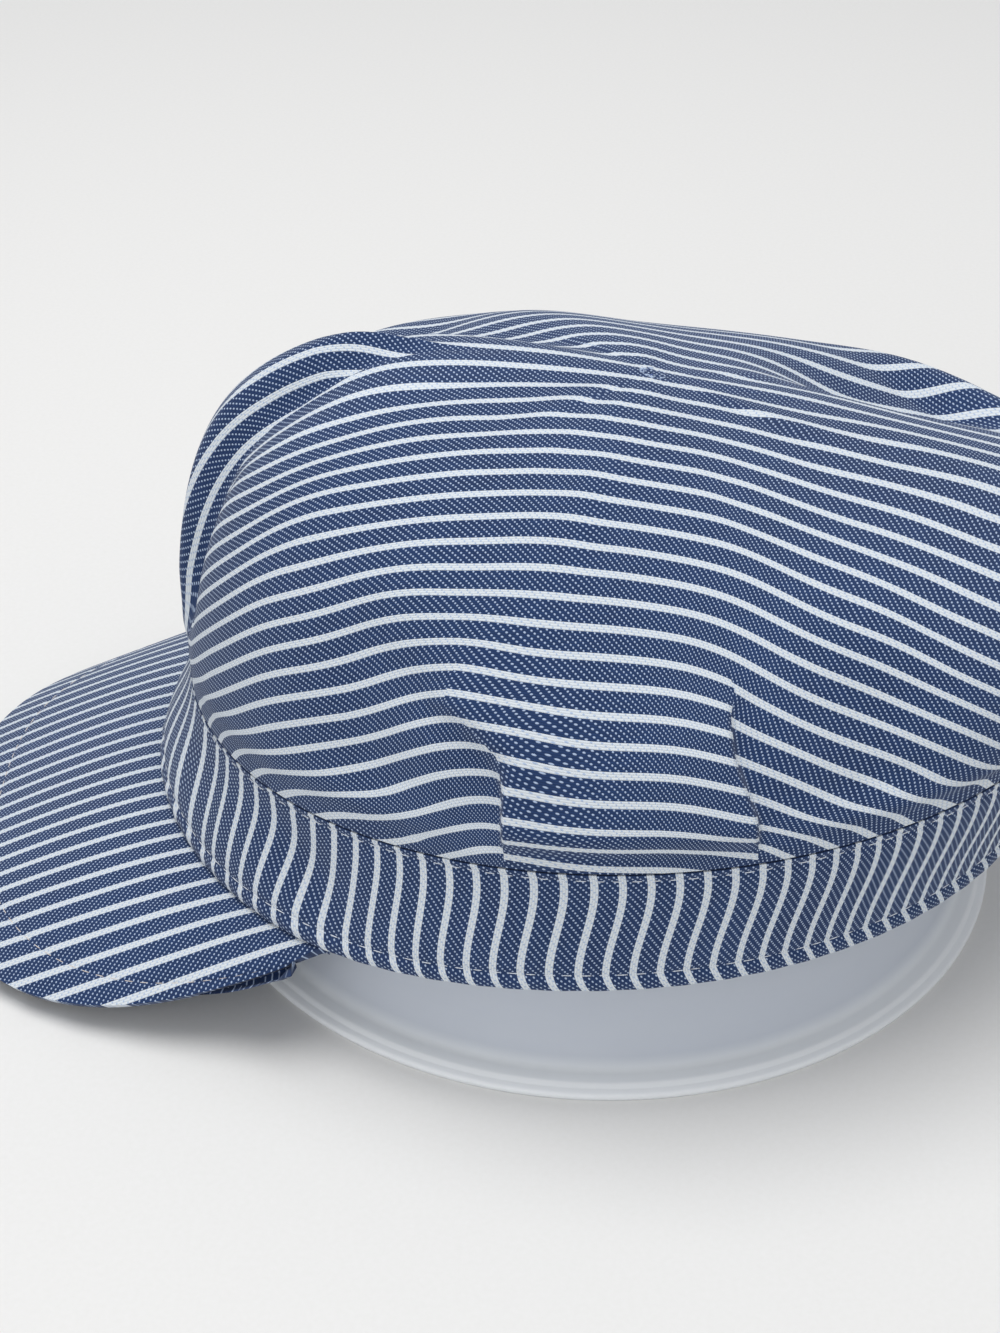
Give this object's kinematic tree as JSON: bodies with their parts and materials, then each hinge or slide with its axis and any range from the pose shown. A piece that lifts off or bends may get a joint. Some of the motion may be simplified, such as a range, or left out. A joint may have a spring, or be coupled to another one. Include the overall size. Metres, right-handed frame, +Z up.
{
  "type": "conductor hat on a plain tub stand",
  "caption": "Soft striped denim cap with a gathered crown, an oval head band and a drooping front peak, seated on a plain upturned round tub.",
  "frame": {"origin": "bottom of the part, under the middle of its bounding box, on the surface that the stand rests on", "axes": "+Z up, the peak points to -Y, the wearer's left side is at +X"},
  "size_m": [0.159, 0.2284, 0.1066],
  "materials": {
    "striped_denim": "matt twill",
    "tub_plastic": "satin, slightly translucent"
  },
  "bodies": {
    "root": {"crown": "striped_denim", "band": "striped_denim", "peak": "striped_denim", "stand": "tub_plastic"}
  },
  "joints": []
}
